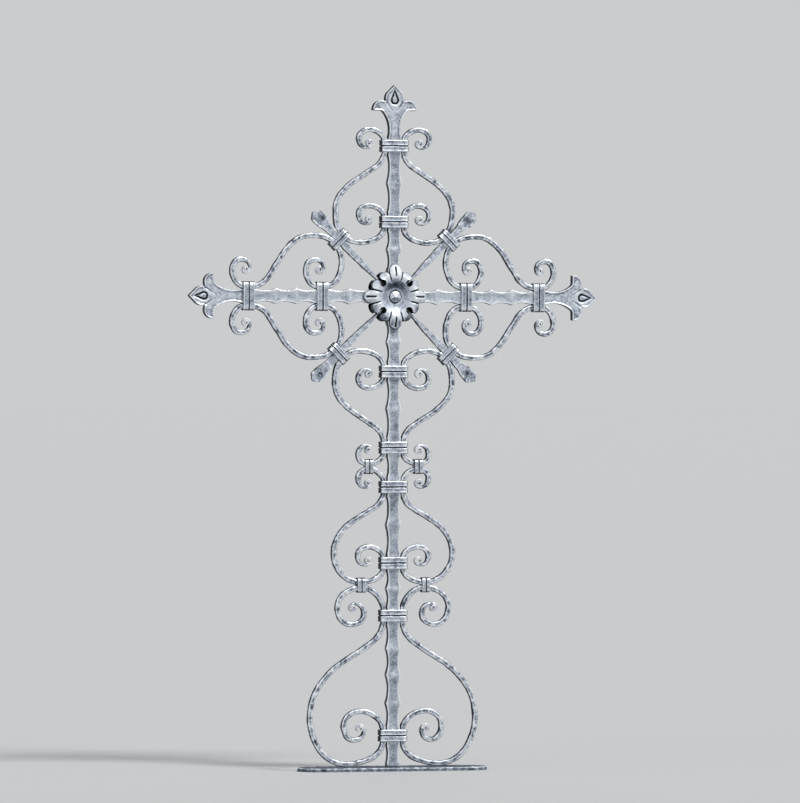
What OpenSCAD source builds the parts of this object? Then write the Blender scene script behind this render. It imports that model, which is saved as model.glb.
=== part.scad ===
// Wrought iron grave cross, 1.2 m tall, standing on a lobed base plate.
// The cross stands in the XZ plane with its front towards -Y.
// The origin is the middle of the plate's underside, and lengths are in millimetres.

/* [Overall] */
// Height of the crossing above the ground
crossing_h = 829; // [822:1:836]
// From the crossing to a collar near it, on each of the four arms
inner_at = 131; // [128:1:134]
// From the crossing to a collar at the end of an arm
outer_at = 264; // [261:1:267]
// From the crossing to the tip of a finial
reach = 371; // [369:1:373]

/* [Bars] */
// Width of the upright and the crossbar, seen from the front
bar_w = 24; // [23:0.5:25]
// Depth of the upright and the crossbar, front to back
bar_d = 15; // [14:0.5:18]
// Length aimed at for one forged scallop along the upright
post_pitch = 45; // [38:1:60]
// Length aimed at for one forged scallop along the arms
arm_pitch = 37; // [32:1:50]
// Depth of a scallop in the bar's edge
scallop = 2.4; // [1:0.2:3]

/* [Scrolls] */
// Width of the scroll bars, seen from the front
scroll_w = 9; // [8.5:0.25:9.5]
// Depth of the scroll bars, front to back
scroll_d = 12; // [10:0.5:13]
// Radius of the solid eye that ends each scroll
eye_r = 7.4; // [6.5:0.1:8]
// Length over which a scroll lies flat against its neighbour in a collar
seat = 8; // [6:0.5:10]

/* [Arm scrolls] */
// How far a volute rises past the middle of its collar
rise = 28.6; // [27:0.2:30]
// How far out the top of a volute lies from the bar's middle
top_out = 45; // [44:0.5:47]
// How far out the widest point of a volute lies
side_out = 64; // [62:0.5:66]
// Distance from the crossing of the belly, between the inner collar and the ray
belly_at = 94.7; // [93:0.1:96]
// How far out the belly lies
belly_out = 59.5; // [57:0.5:62]
// How far out the shoulder lies
shoulder_out = 106.5; // [104:0.5:109]
// Distance of the ray collars from the crossing, along the ray
ray_collar_at = 141; // [139:0.5:143]

/* [Waist and foot] */
// Height of the collar at the top of the waist scrolls
waist_z = 496; // [494:1:498]
// Height of the collar at the bottom of the waist scrolls
lobe_z = 363; // [361:1:365]
// Height of the middle of the lower clips
clip_z = 324.5; // [323:0.5:326]
// Height of the collar at the top of the foot scrolls
foot_z = 271; // [269:1:273]
// Height of the collar at the bottom of the foot scrolls
heel_z = 61; // [59:1:63]
// How far out the waist scrolls reach
waist_out = 108; // [105:0.5:111]
// How far out the foot scrolls reach
foot_out = 150.5; // [147:0.5:153]

/* [Collars] */
// Height of a bar collar along its bar
collar_h = 21; // [19:0.5:22]
// Thickness of a bar collar at its sides
collar_side = 3.5; // [2.4:0.1:4]
// Thickness of a collar in front and behind
collar_face = 4; // [3:0.25:5]
// Height of a ray collar along its ray
ray_collar_h = 17.4; // [16:0.2:18]
// Thickness of a ray collar at its sides
ray_collar_side = 4.6; // [4:0.2:5]
// Width of a clip along the two scrolls it joins
clip_w = 15.4; // [14:0.2:16]
// Thickness of a clip above and below the scrolls
clip_edge = 2.8; // [2.4:0.1:3.4]

/* [Rays] */
// Width of a ray at its point under the rosette
ray_point_w = 3; // [2.5:0.5:4]
// Width of a ray in its collar
ray_w = 13; // [12:0.5:13.5]
// Width of a ray's paddle end
ray_paddle_w = 23; // [20:0.5:24]
// From the crossing to a ray's tip
ray_reach = 209; // [204:1:212]

/* [Rosette] */
// From the middle of the rosette to the tip of a long petal
petal_reach = 57; // [54:0.5:60]
// Width of a long petal
petal_w = 22.6; // [20:0.2:24]
// Thickness of the rosette's plate
rosette_t = 3.5; // [3:0.25:4]
// How far the rosette's crest stands forward of its seat
dish = 9; // [7:0.5:11]
// Radius of the rivet's head
rivet_r = 9.3; // [8:0.1:10]

/* [Base] */
// Length of the base plate
plate_l = 344; // [336:2:352]
// Depth of the base plate, front to back
plate_d = 80; // [72:1:96]
// Thickness of the base plate
plate_t = 7; // [6:0.5:8]
// From the middle of the plate to the notches where its end lobes begin
notch_at = 137; // [134:1:140]

/* [Hidden] */
$fn = 72;

iron = "#b9bac6";            // silver rubbed over graphite
iron_shade = "#8f909c";      // the same, less rubbed
gap = 1;                     // room between a scroll and the side of its collar
land = 1.2;                  // the flat left between two scallops
cover = 40;                  // the stretch of each bar under the rosette, left plain
big = 60;                    // more than any bar's depth, for cutting right through
arm_out = bar_w / 2 + scroll_w / 2;          // a scroll's middle from its bar's middle
ray_out = ray_w / 2 + scroll_w / 2;          // a scroll's middle from its ray's middle
half_seat = seat / 2;
tail_r = 9;                  // the last bend before an eye
tail_turn = 60;              // and how far it turns
facet = 10;                  // turn of one flat along a bend
eye_proud = 0.3;             // how far an eye is upset past its bar
lower_clip_out = top_out + 13.5;
upper_clip_z = crossing_h - outer_at - rise - scroll_w / 2;
waist_rise = upper_clip_z - scroll_w / 2 - waist_z;
finial_l = reach - outer_at;

// ---- Directions and arcs in the plane of the cross ----

function heading(a) = [cos(a), sin(a)];
function left_of(v) = [-v[1], v[0]];
function place(p) = [p[0], p[1]];

// Where the two arcs meet that join one place and heading, [x, y, angle], to the next
function meeting(a, b) =
    let (v = place(b) - place(a), t0 = heading(a[2]), t1 = heading(b[2]),
         k = 1 - t0 * t1, vt = v * (t0 + t1),
         d = k < 1e-6 ? v * v / (4 * (v * t1)) : (sqrt(vt * vt + 2 * k * (v * v)) - vt) / (2 * k))
    (place(a) + place(b) + d * (t0 - t1)) / 2;

// Turn needed to run from p along t, on one arc, to q
function turn(p, t, q) = 2 * atan2((q - p) * left_of(t), (q - p) * t);

// The place after a bend of signed radius r that turns by an angle
function bent(s, r, by) =
    let (q = place(s) + r * (left_of(heading(s[2])) - left_of(heading(s[2] + by))))
    [q[0], q[1], s[2] + by];

// Places along one arc, its end left out
function along(s, q, sweep) = abs(sweep) < 0.01 ? [s] :
    let (n = ceil(abs(sweep) / facet), r = norm(q - place(s)) / (2 * sin(sweep / 2)))
    [for (i = [0 : n - 1]) bent(s, r, sweep * i / n)];

// Places along the two arcs that join a to b, and b itself left out
function leg(a, b) =
    let (m = meeting(a, b), back = turn(place(b), -heading(b[2]), m))
    concat(along(a, m, turn(place(a), heading(a[2]), m)),
           along([m[0], m[1], b[2] + back], place(b), -back));

// Places all along a list of stops
function route(stops) = concat(
    [for (i = [0 : len(stops) - 2]) each leg(stops[i], stops[i + 1])],
    [stops[len(stops) - 1]]);

function reversed(stops) =
    [for (i = [len(stops) - 1 : -1 : 0]) [stops[i][0], stops[i][1], stops[i][2] + 180]];

// The stops of a volute, with the tight bend that ends it
function with_tail(stops) = concat(stops, [bent(stops[len(stops) - 1], tail_r, tail_turn)]);

// The stops of a small volute beyond a collar at height z, that rises by up
function small_volute(z, up) = with_tail(
    [[z + up, top_out, 90], [z + up - 15.4, side_out, 180], [z + up - 30.8, top_out + 6, 270]]);

// A flat bar bent along a list of stops, between two solid eyes
module scroll(stops) {
    path = route(stops);
    edge = [for (s = path) scroll_w / 2 * left_of(heading(s[2]))];
    last = len(path) - 1;
    linear_extrude(scroll_d, center = true) polygon(concat(
        [for (i = [0 : last]) place(path[i]) + edge[i]],
        [for (i = [last : -1 : 0]) place(path[i]) - edge[i]]));
    // the eyes lie to the inside of the last bend, both on the left as it is wound
    for (end = [stops[len(stops) - 1], reversed(stops)[len(stops) - 1]])
        translate(place(end) + (eye_r - scroll_w / 2 - eye_proud) * left_of(heading(end[2])))
            cylinder(r = eye_r, h = scroll_d + 2 * eye_proud, center = true);
}

// Beside the ray at a distance from the crossing
function by_ray(at) = (at * [1, 1] + ray_out * [1, -1]) / sqrt(2);

// ---- Placing ----

// Turns the drawing plane upright about a height, x' along an arm and y' to its left
module on_arm(angle, side) {
    translate([0, 0, crossing_h]) rotate([90, 0, 0]) rotate([0, 0, angle])
        mirror([0, side < 0 ? 1 : 0, 0]) children();
}

// The same from the ground up, for what stands beside the upright
module on_post(side) {
    rotate([90, 0, 0]) rotate([0, 0, 90]) mirror([0, side < 0 ? 1 : 0, 0]) children();
}

// ---- Scrolls ----

module arm_scroll(angle, side) {
    ray_near = by_ray(ray_collar_at - half_seat);
    ray_far = by_ray(ray_collar_at + half_seat);
    color(iron) on_arm(angle, side) scroll(concat(
        reversed(small_volute(inner_at, rise)),
        [[inner_at + half_seat, arm_out, 180], [inner_at - half_seat, arm_out, 180],
         [belly_at, belly_out, 90], [ray_near[0], ray_near[1], 45], [ray_far[0], ray_far[1], 45],
         [inner_at + 20, shoulder_out, 0], [outer_at - 60.5, shoulder_out - 36, -57.5],
         [outer_at - half_seat, arm_out, 0], [outer_at + half_seat, arm_out, 0]],
        small_volute(outer_at, rise)));
}

module waist_scroll(side) {
    color(iron) on_post(side) scroll(concat(
        reversed(small_volute(waist_z, waist_rise)),
        [[waist_z + half_seat, arm_out, 180], [waist_z - half_seat, arm_out, 180],
         [waist_z - 59, waist_out - 35.5, 121.5], [lobe_z + 17, waist_out, 180],
         [clip_z + scroll_w / 2, lower_clip_out, 270],
         [lobe_z - half_seat, arm_out, 360], [lobe_z + half_seat, arm_out, 360]],
        small_volute(lobe_z, rise)));
}

module foot_scroll(side) {
    upper = with_tail([[clip_z - scroll_w / 2, lower_clip_out, 90],
        [foot_z + 14, foot_out - 49.5, 180], [foot_z - 15.5, 76, 270],
        [foot_z + 3, 52.5, 360], [foot_z + 19.5, 68, 450]]);
    heel = with_tail([[heel_z + 43, 59.5, 90], [heel_z + 17, 89, 180],
        [heel_z - 7.5, 70, 270], [heel_z + 8, 53.5, 360]]);
    color(iron) on_post(side) scroll(concat(
        reversed(upper),
        [[foot_z + half_seat, arm_out, 180], [foot_z - half_seat, arm_out, 180],
         [foot_z - 76, foot_out - 67, 120], [heel_z + 32, foot_out, 180],
         [plate_t + scroll_w / 2, 84, 270],
         [heel_z - half_seat, arm_out, 360], [heel_z + half_seat, arm_out, 360]],
        heel));
}

// ---- Bars ----

// Radius of the arc of a given depth over a chord
function arc_r(chord, depth) = (chord * chord / 4 + depth * depth) / (2 * depth);

// Cuts the scallops of one stretch, from a to b, into both edges of a bar along x'
module scallops(a, b, pitch, width) {
    count = max(1, round((b - a) / pitch));
    step = (b - a) / count;
    r = arc_r(step - land, scallop);
    for (i = [0 : count - 1], s = [-1, 1])
        translate([a + (i + 0.5) * step, s * (width / 2 + r - scallop), 0])
            cylinder(r = r, h = big, center = true, $fn = 180);
}

// The free stretches of a bar between the collars at the given places
module free_stretches(stops, pitch) {
    for (i = [0 : len(stops) - 2])
        scallops(stops[i] + collar_h / 2, stops[i + 1] - collar_h / 2, pitch, bar_w);
}

module upright() {
    top = crossing_h + outer_at;
    color(iron_shade) rotate([90, 0, 0]) rotate([0, 0, 90]) difference() {
        translate([plate_t, -bar_w / 2, -bar_d / 2]) cube([top - plate_t, bar_w, bar_d]);
        free_stretches([plate_t - collar_h / 2, heel_z, foot_z, lobe_z, waist_z,
                        crossing_h - outer_at, crossing_h - inner_at,
                        crossing_h - cover + collar_h / 2], post_pitch);
        free_stretches([crossing_h + cover - collar_h / 2, crossing_h + inner_at, top],
                       post_pitch);
        // half of the lap at the crossing, cut from behind
        translate([crossing_h - bar_w / 2, -bar_w, -bar_d]) cube([bar_w, 2 * bar_w, bar_d]);
    }
}

module crossbar() {
    color(iron_shade) translate([0, 0, crossing_h]) rotate([90, 0, 0]) difference() {
        translate([-outer_at, -bar_w / 2, -bar_d / 2]) cube([2 * outer_at, bar_w, bar_d]);
        for (turned = [0, 180]) rotate([0, 0, turned])
            free_stretches([cover - collar_h / 2, inner_at, outer_at], arm_pitch);
        // the other half of the lap, cut from the front
        translate([-bar_w / 2, -bar_w, 0]) cube([bar_w, 2 * bar_w, bar_d]);
    }
}

module ray(angle) {
    paddle_at = ray_reach - 9;
    neck_at = ray_collar_at + 14;
    color(iron) on_arm(angle, 1) difference() {
        linear_extrude(scroll_d, center = true) polygon([
            [bar_w / 2, -ray_point_w / 2], [ray_collar_at - 22, -ray_w / 2],
            [neck_at, -ray_w / 2], [paddle_at, -ray_paddle_w / 2], [ray_reach, 0],
            [paddle_at, ray_paddle_w / 2], [neck_at, ray_w / 2],
            [ray_collar_at - 22, ray_w / 2], [bar_w / 2, ray_point_w / 2]]);
        // fits the corner between upright and crossbar
        for (a = [-45, 45]) rotate([0, 0, a])
            cube([4 * bar_w, bar_w, big], center = true);
    }
}

// ---- Finials ----

bud_r = 17.2;                // round of the bud
bud_tip = 23.8;              // from the middle of its round to its point
leaf_at = 64.5;              // middle of a leaf, along the finial
leaf_out = 24.5;
leaf_r = 15.3;
leaf_under = 62;             // where the undersides of the leaves lie
leaf_fillet = 6;
neck_r = 50;                 // the long hollow on each side of the neck
neck_w = 20;                 // the neck where it is narrowest
stem = 14;                   // the straight foot in the collar

// A round drawn out to a point; its sides start just inside the round
module teardrop(r, tip) {
    turn = acos(r / tip);
    side = 0.99 * r * [cos(turn), sin(turn)];
    circle(r = r);
    polygon([[0, 0], [side.x, -side.y], [tip, 0], side]);
}

module leaf_circle(s) {
    translate([leaf_at, s * leaf_out]) circle(r = leaf_r);
}

module finial_outline() {
    translate([0, -bar_w / 2]) square([stem + 0.5, bar_w]);
    // the neck and the leaves, filleted where they meet
    offset(r = -leaf_fillet) offset(r = leaf_fillet) {
        difference() {
            translate([stem, -leaf_out]) square([leaf_under + 1 - stem, 2 * leaf_out]);
            for (s = [-1, 1]) translate([2 * stem, s * (neck_r + neck_w / 2)])
                circle(r = neck_r, $fn = 180);
        }
        for (s = [-1, 1]) intersection() {
            leaf_circle(s);
            translate([leaf_under, -2 * leaf_out]) square([2 * leaf_r, 4 * leaf_out]);
        }
    }
    // the web under the bud
    translate([leaf_under - 2, -14]) square([11, 28]);
    translate([finial_l - bud_tip, 0]) teardrop(bud_r, bud_tip);
}

module finial(angle) {
    groove = 1.2;
    color(iron_shade) on_arm(angle, 1) translate([outer_at, 0, 0]) difference() {
        linear_extrude(bar_d, center = true) finial_outline();
        // a teardrop, ringed by a groove, in both faces
        for (s = [-1, 1]) translate([80, 0, s * bar_d / 2])
            linear_extrude(2 * groove, center = true) difference() {
                teardrop(6.3, 16);
                teardrop(4.6, 12.5);
            }
    }
}

// ---- Rosette and rivet ----

module rosette_outline() {
    lobe_r = 11.5;
    lobe_at = 36.7;
    hole_at = 33.5;
    difference() {
        union() {
            circle(r = lobe_at);
            for (a = [0 : 90 : 270]) rotate(a) {
                translate([petal_reach - petal_w / 2, 0]) circle(r = petal_w / 2);
                translate([0, -petal_w / 2]) square([petal_reach - petal_w / 2, petal_w]);
                for (s = [-30, 30]) rotate(s) translate([lobe_at, 0]) circle(r = lobe_r);
            }
        }
        // keyholes, where the rays' points show
        for (a = [45 : 90 : 315]) rotate(a) {
            translate([hole_at, 0]) circle(r = 5.9);
            translate([hole_at, -2]) square([petal_reach, 4]);
        }
    }
}

// Height of the rosette's back above its seat, at a radius
function dish_at(r) = r < 14 ? 0 : dish * (1 - cos(min(220, (r - 14) * 7.6))) / 2;

// One on the front, and one turned half round for the back
module rosette(turn) {
    steps = [0, 14, 20, 26, 32, 38, 44, 50, petal_reach + 2];
    back = [for (r = steps) [r, dish_at(r)]];
    front = [for (i = [len(steps) - 1 : -1 : 0]) [steps[i], dish_at(steps[i]) + rosette_t]];
    color(iron) rotate(turn) translate([0, -bar_d / 2, crossing_h]) rotate([90, 0, 0])
        intersection() {
            rotate_extrude() polygon(concat(back, front));
            linear_extrude(dish + 2 * rosette_t) rosette_outline();
        }
}

module rivet(turn) {
    crown = 6;
    skirt = 1.5;
    dome_r = (rivet_r * rivet_r + crown * crown) / (2 * crown);
    color(iron) rotate(turn) translate([0, -bar_d / 2 - rosette_t, crossing_h]) rotate([90, 0, 0])
        intersection() {
            cylinder(r = rivet_r, h = skirt + crown);
            translate([0, 0, skirt + crown - dome_r]) sphere(r = dome_r);
        }
}

// ---- Collars and clips ----

// A rectangle with round corners
module rounded(w, d, r) {
    square([w, d - 2 * r], center = true);
    square([w - 2 * r, d], center = true);
    for (x = [-1, 1], y = [-1, 1]) translate([x * (w / 2 - r), y * (d / 2 - r)]) circle(r = r);
}

// Two hollow-faced bands with a groove between them, wrapped round a bore w by d
module bands(w, d, side, face, h) {
    groove = 0.1 * h;
    bead = 0.105 * h;
    hollow = (h - groove) / 2 - 2 * bead;
    starts = [-h / 2, -h / 2 + bead, -h / 2 + bead + hollow, -groove / 2,
              groove / 2, groove / 2 + bead, groove / 2 + bead + hollow];
    heights = [bead, hollow, bead, groove, bead, hollow, bead];
    sunk = [0, 0.6, 0, 1.4, 0, 0.6, 0];
    difference() {
        for (i = [0 : 6]) translate([0, 0, starts[i]]) linear_extrude(heights[i])
            rounded(w + 2 * side - 2 * sunk[i], d + 2 * face - 2 * sunk[i], 3);
        cube([w, d, 2 * h], center = true);
    }
}

bore_w = bar_w + 2 * scroll_w + 2 * gap;

// Round the upright, at a height
module post_collar(z) {
    color(iron) translate([0, 0, z]) bands(bore_w, bar_d, collar_side, collar_face, collar_h);
}

// Round the crossbar, at a distance to the right
module arm_collar(x) {
    color(iron) translate([x, 0, crossing_h]) rotate([0, 90, 0])
        bands(bore_w, bar_d, collar_side, collar_face, collar_h);
}

module ray_collar(angle) {
    bore = ray_w + 2 * scroll_w + gap;
    color(iron) on_arm(angle, 1) translate([ray_collar_at, 0, 0])
        rotate([0, 90, 0]) rotate([0, 0, 90])
            bands(bore, scroll_d, ray_collar_side, collar_face, ray_collar_h);
}

// Joins the two scrolls that touch at height z, a distance out to one side
module clip(side, z, out) {
    bore = 2 * scroll_w + 3.4;
    color(iron) translate([-side * out, 0, z]) rotate([0, 90, 0])
        bands(bore, scroll_d, clip_edge, collar_face - 0.5, clip_w);
}

// ---- Base plate ----

module base_plate() {
    end_r = plate_l / 2 - notch_at + 3;
    edge = 1.2;              // depth of the hammered scallops along the plate's edges
    count = 12;
    step = 2 * (notch_at - 6) / count;
    r = arc_r(step - land, edge);
    color(iron_shade) linear_extrude(plate_t) difference() {
        union() {
            square([2 * notch_at, plate_d], center = true);
            for (s = [-1, 1]) translate([s * (plate_l / 2 - end_r), 0]) {
                circle(r = end_r);
                square([2, 2 * end_r], center = true);
            }
        }
        for (x = [-1, 1], y = [-1, 1])
            translate([x * notch_at, y * (plate_d / 2 + 1)]) circle(r = 6);
        for (i = [0 : count - 1], y = [-1, 1])
            translate([(i + 0.5 - count / 2) * step, y * (plate_d / 2 + r - edge)])
                circle(r = r, $fn = 180);
    }
}

base_plate();
upright();
crossbar();
finial(90);  // finial_top
finial(180);  // finial_left
finial(0);  // finial_right
ray(135);  // ray_upper_left
ray(45);  // ray_upper_right
ray(225);  // ray_lower_left
ray(315);  // ray_lower_right
rosette(0);
rosette(180);  // rosette_back
rivet(0);
rivet(180);  // rivet_back
arm_scroll(90, 1);  // scroll_top_left
arm_scroll(90, -1);  // scroll_top_right
arm_scroll(180, -1);  // scroll_left_upper
arm_scroll(180, 1);  // scroll_left_lower
arm_scroll(0, 1);  // scroll_right_upper
arm_scroll(0, -1);  // scroll_right_lower
arm_scroll(270, -1);  // scroll_bottom_left
arm_scroll(270, 1);  // scroll_bottom_right
waist_scroll(1);  // scroll_waist_left
waist_scroll(-1);  // scroll_waist_right
foot_scroll(1);  // scroll_foot_left
foot_scroll(-1);  // scroll_foot_right
post_collar(crossing_h + outer_at);  // collar_top_outer
post_collar(crossing_h + inner_at);  // collar_top_inner
arm_collar(-outer_at);  // collar_left_outer
arm_collar(-inner_at);  // collar_left_inner
arm_collar(outer_at);  // collar_right_outer
arm_collar(inner_at);  // collar_right_inner
post_collar(crossing_h - outer_at);  // collar_bottom_outer
post_collar(crossing_h - inner_at);  // collar_bottom_inner
post_collar(waist_z);  // collar_waist
post_collar(lobe_z);  // collar_lobe
post_collar(foot_z);  // collar_foot
post_collar(heel_z);  // collar_heel
ray_collar(135);  // ray_collar_upper_left
ray_collar(45);  // ray_collar_upper_right
ray_collar(225);  // ray_collar_lower_left
ray_collar(315);  // ray_collar_lower_right
clip(1, upper_clip_z, top_out);  // clip_upper_left
clip(-1, upper_clip_z, top_out);  // clip_upper_right
clip(1, clip_z, lower_clip_out);  // clip_lower_left
clip(-1, clip_z, lower_clip_out);  // clip_lower_right
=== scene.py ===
import math

import bmesh
import bpy
import numpy as np
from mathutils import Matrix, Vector, kdtree


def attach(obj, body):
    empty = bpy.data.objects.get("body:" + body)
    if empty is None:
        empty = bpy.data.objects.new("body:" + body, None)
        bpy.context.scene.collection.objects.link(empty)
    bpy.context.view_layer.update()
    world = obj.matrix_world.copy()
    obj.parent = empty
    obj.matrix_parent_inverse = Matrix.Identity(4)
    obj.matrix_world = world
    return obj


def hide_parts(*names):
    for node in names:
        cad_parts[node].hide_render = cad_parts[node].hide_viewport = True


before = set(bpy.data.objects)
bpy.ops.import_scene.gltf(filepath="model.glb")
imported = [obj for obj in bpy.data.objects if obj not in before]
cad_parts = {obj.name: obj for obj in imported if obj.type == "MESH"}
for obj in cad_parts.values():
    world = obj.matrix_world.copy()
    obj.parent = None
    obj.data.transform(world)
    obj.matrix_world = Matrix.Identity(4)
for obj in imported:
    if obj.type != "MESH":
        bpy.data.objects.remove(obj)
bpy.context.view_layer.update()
mm = 0.001
scene = bpy.context.scene
print("frame loaded,", len(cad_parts), "nodes")

# sizes shared by the pieces, in mm
cross = {
    "crossing": 829, "plate": 7,
    "inner": 131, "outer": 264, "rayCollar": 141,        # collars, out from the crossing
    "waist": 496, "lobe": 363, "foot": 271, "heel": 61,  # collars, up from the floor
    "clipUpper": 531.9, "clipUpperOut": 45, "clipLower": 324.5, "clipLowerOut": 58.5,
    "barWidth": 24, "barDepth": 15, "scrollWidth": 9, "scrollDepth": 12,
    "armOut": 16.5, "rayOut": 11,        # the scrolls' middle lines beside a bar and a ray
    "seat": 8,                           # length of a scroll that a collar holds straight
    "tailRadius": 9, "tailTurn": 60,     # the last bend before the rolled end
    "collarHalf": 10.5, "plainOut": 40,  # where scallops stop at a collar and at the rosette
}
seeds = {"scrolls": 20, "upright": 3, "crossbar": 5, "collars": 60, "rayCollars": 80, "clips": 90}


# small helpers

def linear(hexColour):
    # sRGB hex to linear, with alpha
    parts = [int(hexColour[i:i + 2], 16) / 255 for i in (1, 3, 5)]
    return [c / 12.92 if c <= 0.04045 else ((c + 0.055) / 1.055) ** 2.4 for c in parts] + [1.0]


def deselectAll():
    if bpy.context.object and bpy.context.object.mode != "OBJECT":
        bpy.ops.object.mode_set(mode="OBJECT")
    bpy.ops.object.select_all(action="DESELECT")


def makeActive(obj):
    deselectAll()
    obj.select_set(True)
    bpy.context.view_layer.objects.active = obj


def getPoints(obj):
    # vertex places in mm
    flat = np.empty(len(obj.data.vertices) * 3)
    obj.data.vertices.foreach_get("co", flat)
    return flat.reshape(-1, 3) / mm


def setPoints(obj, points):
    obj.data.vertices.foreach_set("co", (np.asarray(points) * mm).ravel())
    obj.data.update()


def getNormals(obj):
    flat = np.empty(len(obj.data.vertices) * 3, np.float32)
    obj.data.vertex_normals.foreach_get("vector", flat)
    return flat.reshape(-1, 3).astype(float)


def copyOf(obj, name):
    # a copy with its own mesh
    made = obj.copy()
    made.data = obj.data.copy()
    made.name = made.data.name = name
    scene.collection.objects.link(made)
    return made


def smoothStep(low, high, x):
    t = np.clip((x - low) / (high - low), 0, 1)
    return t * t * (3 - 2 * t)


def softNoise(points, size, seed, waves=14):
    # gentle waves of about that size in mm, from -1 to 1
    rng = np.random.default_rng(seed)
    total = np.zeros(len(points))
    for i in range(waves):
        way = rng.normal(size=3)
        way *= rng.uniform(0.6, 1.6) * math.tau / size / np.linalg.norm(way)
        total += np.sin(points @ way + rng.uniform(0, math.tau))
    return total / 5


def applyModifier(obj, kind, **settings):
    makeActive(obj)
    bpy.ops.object.modifier_add(type=kind)
    modifier = obj.modifiers[-1]
    for key, value in settings.items():
        setattr(modifier, key, value)
    bpy.ops.object.modifier_apply(modifier=modifier.name)


def hammer(obj, size, depth):
    # round-bottomed blows with ridges between them, only ever inwards
    blows = bpy.data.textures.new("hammerBlows", "VORONOI")
    blows.distance_metric = "DISTANCE_SQUARED"
    blows.noise_scale = size * mm
    applyModifier(obj, "DISPLACE", texture=blows, texture_coords="LOCAL",
                  strength=depth * mm, mid_level=1.0)
    bpy.data.textures.remove(blows)


def outwards(obj):
    makeActive(obj)
    bpy.ops.object.mode_set(mode="EDIT")
    bpy.ops.mesh.select_all(action="SELECT")
    bpy.ops.mesh.remove_doubles(threshold=1e-6)
    bpy.ops.mesh.normals_make_consistent(inside=False)
    bpy.ops.object.mode_set(mode="OBJECT")


def keepValues(obj, name, values):
    # values that stay with their vertices while others are merged
    layer = obj.data.attributes.new(name, "FLOAT", "POINT")
    layer.data.foreach_set("value", np.asarray(values, np.float32))


def takeValues(obj, name):
    layer = obj.data.attributes[name]
    values = np.empty(len(obj.data.vertices), np.float32)
    layer.data.foreach_get("value", values)
    obj.data.attributes.remove(layer)
    return values.astype(float)


def waxAndShadeMap(obj, fine=0.5, broad=0.1, sides=0.62, base=0.6, front=(0.4, 0.85),
           least=-0.3, most=0.35, extra=None):
    # how far the silver is rubbed in: high on edges and crests, low in hollows; side faces darker,
    # partly as paint left bare and partly as painted shade, and extra adds the callers' own wear and
    # painted shade
    points, normals = getPoints(obj), getNormals(obj)
    count = len(points)
    pairs = np.empty(len(obj.data.edges) * 2, int)
    obj.data.edges.foreach_get("vertices", pairs)
    a, b = pairs[0::2], pairs[1::2]
    near = np.maximum(np.bincount(a, minlength=count) + np.bincount(b, minlength=count), 1)
    # heights above the piece smoothed a little, then a lot
    soft, heights, rounds = points.copy(), [], (4, 18)
    flat = np.abs(normals[:, 1]) > 0.8
    for step in range(1, rounds[-1] + 1):
        soft = np.stack([
            np.bincount(a, soft[b, k], count) + np.bincount(b, soft[a, k], count)
            for k in range(3)], 1) / near[:, None]
        if step in rounds:
            height = np.einsum("ij,ij->i", points - soft, normals)
            heights.append(height - np.median(height[flat]))
    facing = smoothStep(*front, np.abs(normals[:, 1]))
    worn = np.clip(fine * heights[0] + broad * heights[1], least, most)
    # faces turned away from the front are darker: partly bare paint, partly painted shade on the sides
    rub = base + worn - sides * (1 - facing)
    if extra is not None:
        rub = rub + extra
    layer = obj.data.attributes.new("rub", "FLOAT", "POINT")
    layer.data.foreach_set("value", np.clip(rub, 0, 1).astype(np.float32))


def finish(obj, nodes, slotName, material, angle=None, **waxAndShadeSettings):
    # shade, paint, and hand the piece to the frame in place of its CAD nodes
    makeActive(obj)
    if angle is None:
        bpy.ops.object.shade_smooth()
    else:
        bpy.ops.object.shade_smooth_by_angle(angle=math.radians(angle))
    waxAndShadeMap(obj, **waxAndShadeSettings)
    obj.data.materials.clear()
    obj.data.materials.append(material)
    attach(obj, "root")
    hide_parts(*nodes)


def pieceName(node):
    return "".join(part.capitalize() for part in node.split("_"))


# directions and arcs in the plane of the cross, as the smith's drawing has them

def heading(angle):
    return np.array([math.cos(math.radians(angle)), math.sin(math.radians(angle))])


def leftOf(v):
    return np.array([-v[1], v[0]])


def place(stop):
    return np.array(stop[:2], float)


def meeting(a, b):
    # where the two arcs meet that join one stop [x, y, heading] to the next
    v, t0, t1 = place(b) - place(a), heading(a[2]), heading(b[2])
    k, vt = 1 - t0 @ t1, v @ (t0 + t1)
    if k < 1e-6:
        d = (v @ v) / (4 * (v @ t1))
    else:
        d = (math.sqrt(vt * vt + 2 * k * (v @ v)) - vt) / (2 * k)
    return (place(a) + place(b) + d * (t0 - t1)) / 2


def turnTo(p, t, q):
    return 2 * math.degrees(math.atan2((q - p) @ leftOf(t), (q - p) @ t))


def bent(stop, radius, by):
    q = place(stop) + radius * (leftOf(heading(stop[2])) - leftOf(heading(stop[2] + by)))
    return [q[0], q[1], stop[2] + by]


def alongArc(stop, q, sweep, pitch):
    gap = np.linalg.norm(q - place(stop))
    if abs(sweep) < 0.01:
        count = max(1, math.ceil(gap / pitch))
        return [[*(place(stop) + (q - place(stop)) * i / count), stop[2]] for i in range(count)]
    radius = gap / (2 * math.sin(math.radians(sweep / 2)))
    count = max(1, math.ceil(abs(radius * math.radians(sweep)) / pitch))
    return [bent(stop, radius, sweep * i / count) for i in range(count)]


def leg(a, b, pitch):
    m = meeting(a, b)
    back = turnTo(place(b), -heading(b[2]), m)
    first = alongArc(a, m, turnTo(place(a), heading(a[2]), m), pitch)
    return first + alongArc([m[0], m[1], b[2] + back], place(b), -back, pitch)


def route(stops, pitch):
    found = []
    for a, b in zip(stops, stops[1:]):
        found += leg(a, b, pitch)
    return found + [list(stops[-1])]


def reversedStops(stops):
    return [[s[0], s[1], s[2] + 180] for s in reversed(stops)]


def withTail(stops):
    return stops + [bent(stops[-1], cross["tailRadius"], cross["tailTurn"])]


def smallVolute(z, rise):
    return withTail([[z + rise, 45, 90], [z + rise - 15.4, 64, 180], [z + rise - 30.8, 51, 270]])


def byRay(at):
    return [(at + cross["rayOut"]) / math.sqrt(2), (at - cross["rayOut"]) / math.sqrt(2)]


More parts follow.
